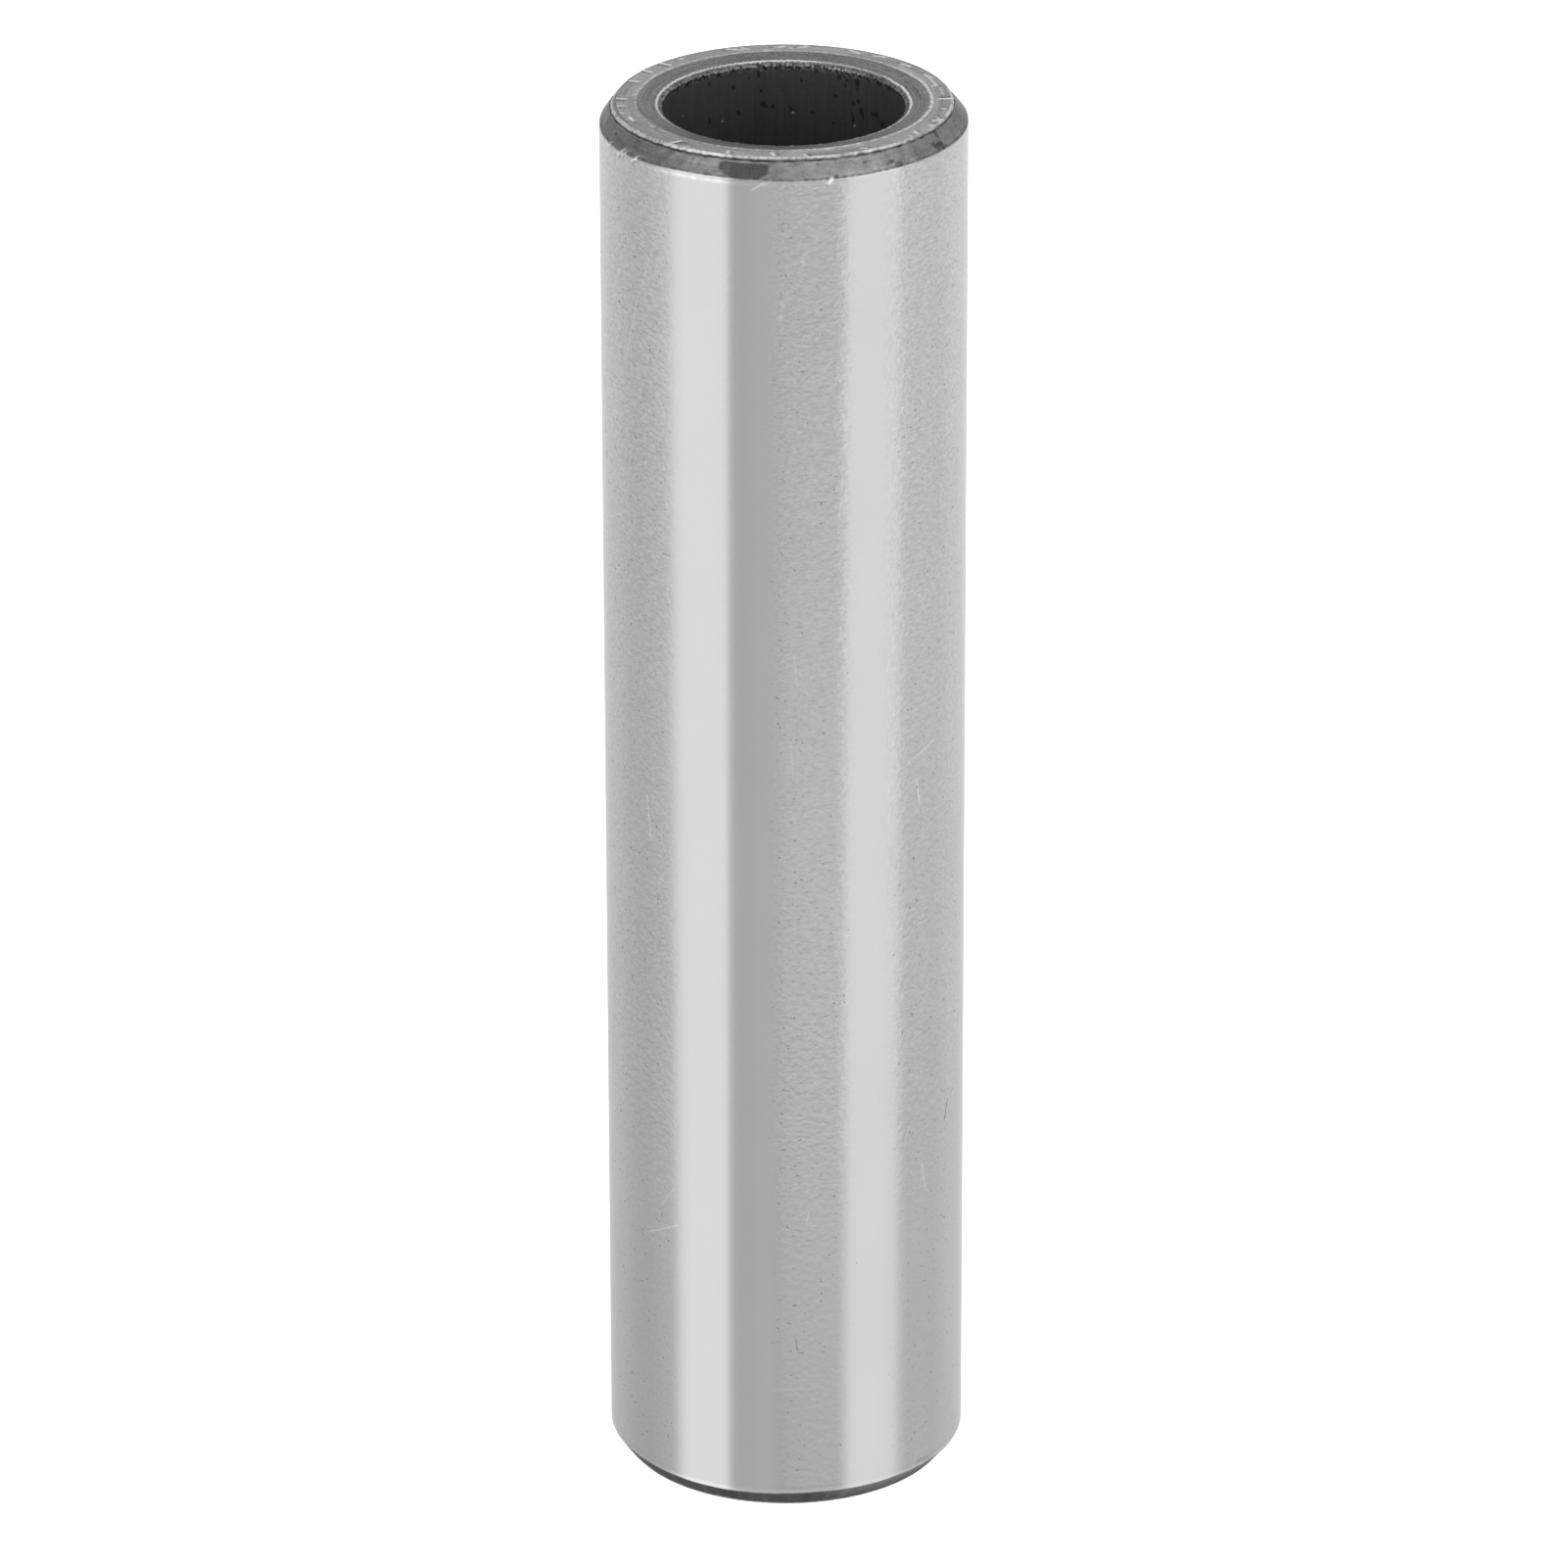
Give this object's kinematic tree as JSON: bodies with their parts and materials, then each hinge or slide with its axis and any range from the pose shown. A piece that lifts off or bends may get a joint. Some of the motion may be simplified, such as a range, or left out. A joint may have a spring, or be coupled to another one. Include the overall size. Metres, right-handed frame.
{
  "type": "gudgeon pin",
  "caption": "Hollow ground steel gudgeon pin: a thick-walled tube with chamfered ends, dished end faces and a plain through bore, standing on one end.",
  "frame": {"origin": "middle of the lower end face, on the pin's axis", "axes": "+Z along the pin's axis, up from the end it stands on"},
  "size_m": [0.012, 0.012, 0.0484],
  "materials": {
    "ground_steel": "fine ground and lightly speckled outside, turned end faces, dark blackened bore"
  },
  "bodies": {
    "root": {"gudgeon_pin": "ground_steel"}
  },
  "joints": []
}
